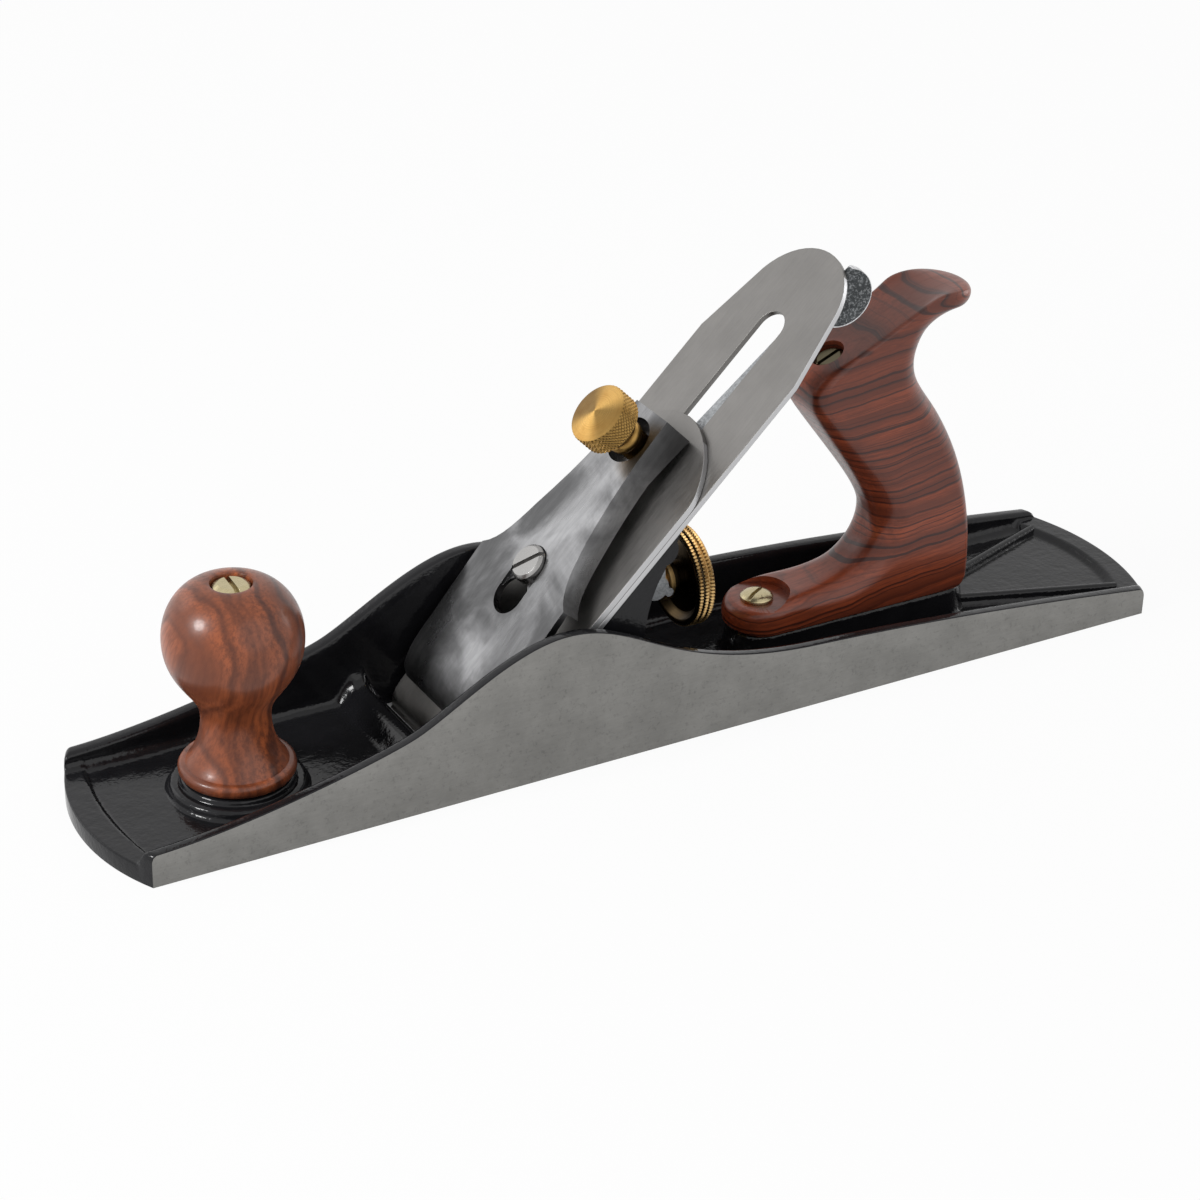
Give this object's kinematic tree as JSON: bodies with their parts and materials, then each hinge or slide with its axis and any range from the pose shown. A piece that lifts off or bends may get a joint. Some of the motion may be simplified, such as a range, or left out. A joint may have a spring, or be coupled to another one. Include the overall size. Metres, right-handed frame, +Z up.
{
  "type": "jack plane",
  "caption": "Bench plane of jack size with an iron body, sliding frog, adjustable cutting iron, lever cap, turned front knob and shaped rear tote.",
  "frame": {"origin": "centre of the sole's footprint, on the face that rests on the work", "axes": "+X from toe to heel along the sole, +Y towards the plane's right cheek, +Z up from the sole"},
  "size_m": [0.355, 0.064, 0.1319],
  "materials": {
    "japanned_iron": "black gloss japan over a lumpy casting, with machined edges left bare",
    "iron_steel": "satin brushed tool steel with bright thin edges",
    "plated_cap": "cloudy bright plating",
    "small_steel": "turned steel",
    "dark_steel": "rough stamped steel with a worn rim",
    "brass": "turned and knurled brass",
    "rosewood": "oiled red-brown hardwood with dark figure, satin lacquer"
  },
  "bodies": {
    "sole": {"sole_body": "japanned_iron", "front_knob": "rosewood", "knob_rod": "small_steel", "knob_nut": "brass", "tote": "rosewood", "tote_rod": "small_steel", "tote_nut": "brass", "tote_toe_screw": "brass", "frog_screws": "small_steel", "frog_screw_washers": "small_steel"},
    "frog": {"frog": "japanned_iron", "depth_stud": "small_steel", "yoke_pin": "small_steel", "lateral_pivot_pin": "small_steel", "frog_adjust_clip": "small_steel", "frog_clip_screw": "small_steel", "lever_cap_screw": "small_steel"},
    "frog_adjuster": {"frog_adjust_screw": "small_steel"},
    "yoke": {"yoke_lever": "dark_steel"},
    "depth_hub": {"depth_hub": "brass"},
    "depth_wheel": {"depth_wheel": "brass"},
    "iron_carriage": {"cap_iron_screw": "small_steel"},
    "iron_pack": {"cutting_iron": "iron_steel", "cap_iron": "iron_steel"},
    "lateral_lever": {"lateral_lever": "dark_steel", "lateral_button": "small_steel"},
    "lever_cap": {"lever_cap": "plated_cap"},
    "clamp_stud": {"clamp_stud": "small_steel"},
    "clamp_knob": {"clamp_knob": "brass"}
  },
  "joints": [
    {"name": "frog_slide", "type": "slide", "parent": "sole", "child": "frog", "axis": [1, 0, 0], "range_m": [-0.001, 0.001]},
    {"name": "frog_screw_turn", "type": "hinge", "parent": "frog", "child": "frog_adjuster", "pos_m": [-0.02, 0, 0.0082], "axis": [1, 0, 0], "range_deg": [-360, 360]},
    {"name": "iron_depth", "type": "slide", "parent": "frog", "child": "iron_carriage", "axis": [0.7071, 0, 0.7071], "range_m": [-0.001, 0.002]},
    {"name": "iron_tilt", "type": "hinge", "parent": "iron_carriage", "child": "iron_pack", "pos_m": [-0.01707, 0, 0.05233], "axis": [-0.7071, 0, 0.7071], "range_deg": [-1.5, 1.5]},
    {"name": "depth_hub_slide", "type": "slide", "parent": "frog", "child": "depth_hub", "axis": [1, 0, 0], "range_m": [-0.0026, 0.0014]},
    {"name": "depth_wheel_turn", "type": "hinge", "parent": "depth_hub", "child": "depth_wheel", "pos_m": [0.0158, 0, 0.0366], "axis": [1, 0, 0], "range_deg": [-360, 720]},
    {"name": "yoke_swing", "type": "hinge", "parent": "frog", "child": "yoke", "pos_m": [0.00178, 0, 0.05327], "axis": [0, 1, 0], "range_deg": [-4.5, 8.8]},
    {"name": "lateral_swing", "type": "hinge", "parent": "frog", "child": "lateral_lever", "pos_m": [0.00661, 0, 0.07601], "axis": [-0.7071, 0, 0.7071], "range_deg": [-5.5, 5.5]},
    {"name": "lever_cap_slide", "type": "slide", "parent": "frog", "child": "lever_cap", "axis": [0.7071, 0, 0.7071], "range_m": [0, 0.0107]},
    {"name": "clamp_screw_slide", "type": "slide", "parent": "lever_cap", "child": "clamp_stud", "axis": [-0.7071, 0, 0.7071], "range_m": [0, 0.003]},
    {"name": "clamp_knob_turn", "type": "hinge", "parent": "clamp_stud", "child": "clamp_knob", "pos_m": [0.00612, 0, 0.07552], "axis": [-0.7071, 0, 0.7071], "range_deg": [0, 1085]}
  ],
  "couplings": [
    {"joint": "frog_screw_turn", "follows": "frog_slide", "rad_per_m": 6283.2},
    {"joint": "depth_hub_slide", "follows": "iron_depth", "ratio": -1.2115},
    {"joint": "depth_wheel_turn", "follows": "iron_depth", "rad_per_m": 5994},
    {"joint": "yoke_swing", "follows": "iron_depth", "rad_per_m": 72.67},
    {"joint": "lateral_swing", "follows": "iron_tilt", "ratio": -3.1875},
    {"joint": "clamp_knob_turn", "follows": "clamp_screw_slide", "rad_per_m": 6283.2}
  ]
}
